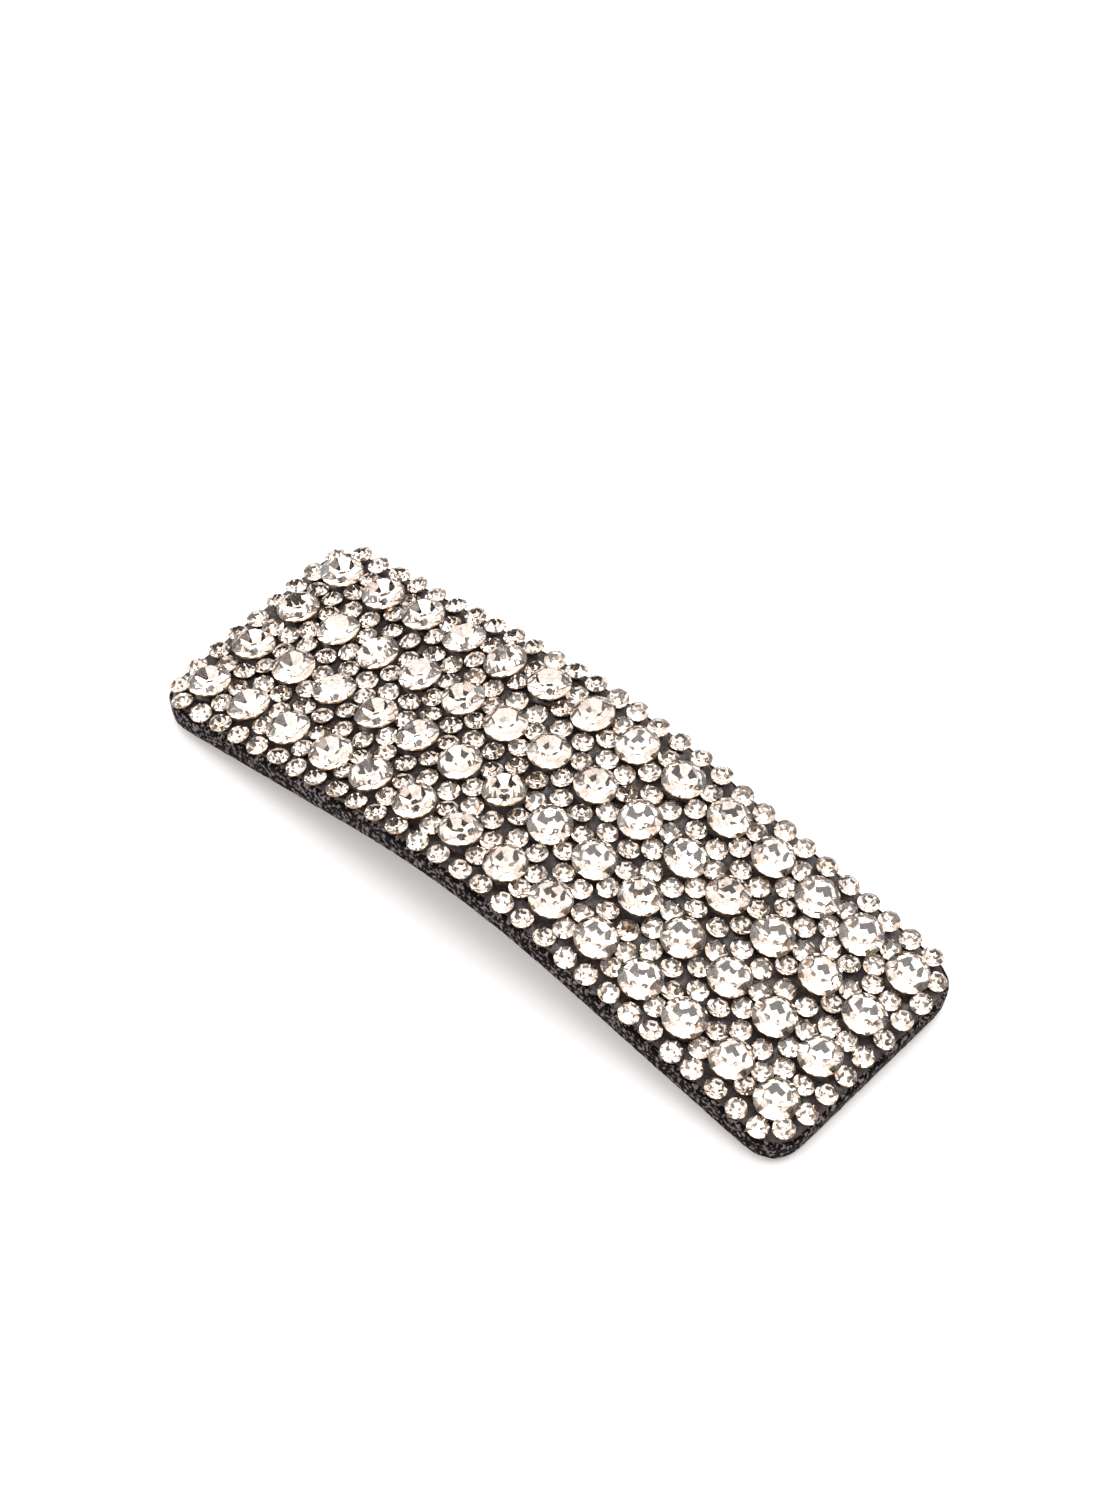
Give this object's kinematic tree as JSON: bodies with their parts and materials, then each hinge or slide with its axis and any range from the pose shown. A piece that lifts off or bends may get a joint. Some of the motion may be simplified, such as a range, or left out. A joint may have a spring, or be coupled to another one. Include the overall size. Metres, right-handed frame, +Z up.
{
  "type": "rhinestone hair clip",
  "caption": "Arched padded hair clip, dark suede covered, set all over with large and small crystal stones, on a low French barrette with a hinged clasp arm and squeeze catch.",
  "frame": {"origin": "on the surface that both ends rest on, below the middle of the arch", "axes": "+X along the clip, from the hinge end to the catch end; +Y across it; +Z up through the stones"},
  "size_m": [0.0714, 0.0244, 0.0104],
  "materials": {
    "crystal": "clear faceted glass chatons with silver foil backs",
    "suede": "charcoal grainy suede cloth",
    "foam": "soft foam",
    "board": "stiff board",
    "felt": "black pressed felt",
    "glue": "dark glossy glue",
    "nickel_steel": "nickel plated steel",
    "spring_steel": "spring steel strip"
  },
  "bodies": {
    "padded_clip": {"backing_felt": "felt", "barrette_base": "nickel_steel", "catch_bracket": "nickel_steel", "catch_rivets": "nickel_steel", "cover_fabric": "suede", "foam_pad": "foam", "hinge_pin": "nickel_steel", "large_stones_row_1": "crystal", "large_stones_row_2": "crystal", "large_stones_row_3": "crystal", "large_stones_row_4": "crystal", "small_stones_back_edge": "crystal", "small_stones_front_edge": "crystal", "small_stones_left_end": "crystal", "small_stones_line_1": "crystal", "small_stones_line_2": "crystal", "small_stones_line_3": "crystal", "small_stones_pairs_1": "crystal", "small_stones_pairs_2": "crystal", "small_stones_pairs_3": "crystal", "small_stones_pairs_4": "crystal", "small_stones_right_end": "crystal", "stiffener_board": "board", "stone_glue": "glue", "tension_bar": "spring_steel"},
    "clasp": {"clasp_arm": "nickel_steel"},
    "prong_front": {"catch_prong_front": "spring_steel"},
    "prong_back": {"catch_prong_back": "spring_steel"}
  },
  "joints": [
    {"name": "clasp_hinge", "type": "hinge", "parent": "padded_clip", "child": "clasp", "pos_m": [-0.0195, 0, 0.00203], "axis": [0, 1, 0], "range_deg": [0, 100]},
    {"name": "prong_squeeze_back", "type": "hinge", "parent": "padded_clip", "child": "prong_back", "pos_m": [0.01832, 0.00135, 0.00305], "axis": [-0.9813, 0, 0.1925], "range_deg": [0, 12], "stiffness_Nm_per_rad": 0.00002, "springref_deg": -5.73},
    {"name": "prong_squeeze_front", "type": "hinge", "parent": "padded_clip", "child": "prong_front", "pos_m": [0.01832, -0.00135, 0.00305], "axis": [-0.9813, 0, 0.1925], "range_deg": [-12, 0], "stiffness_Nm_per_rad": 0.00002, "springref_deg": 5.73}
  ],
  "couplings": [
    {"joint": "prong_squeeze_front", "follows": "prong_squeeze_back", "ratio": -1}
  ]
}
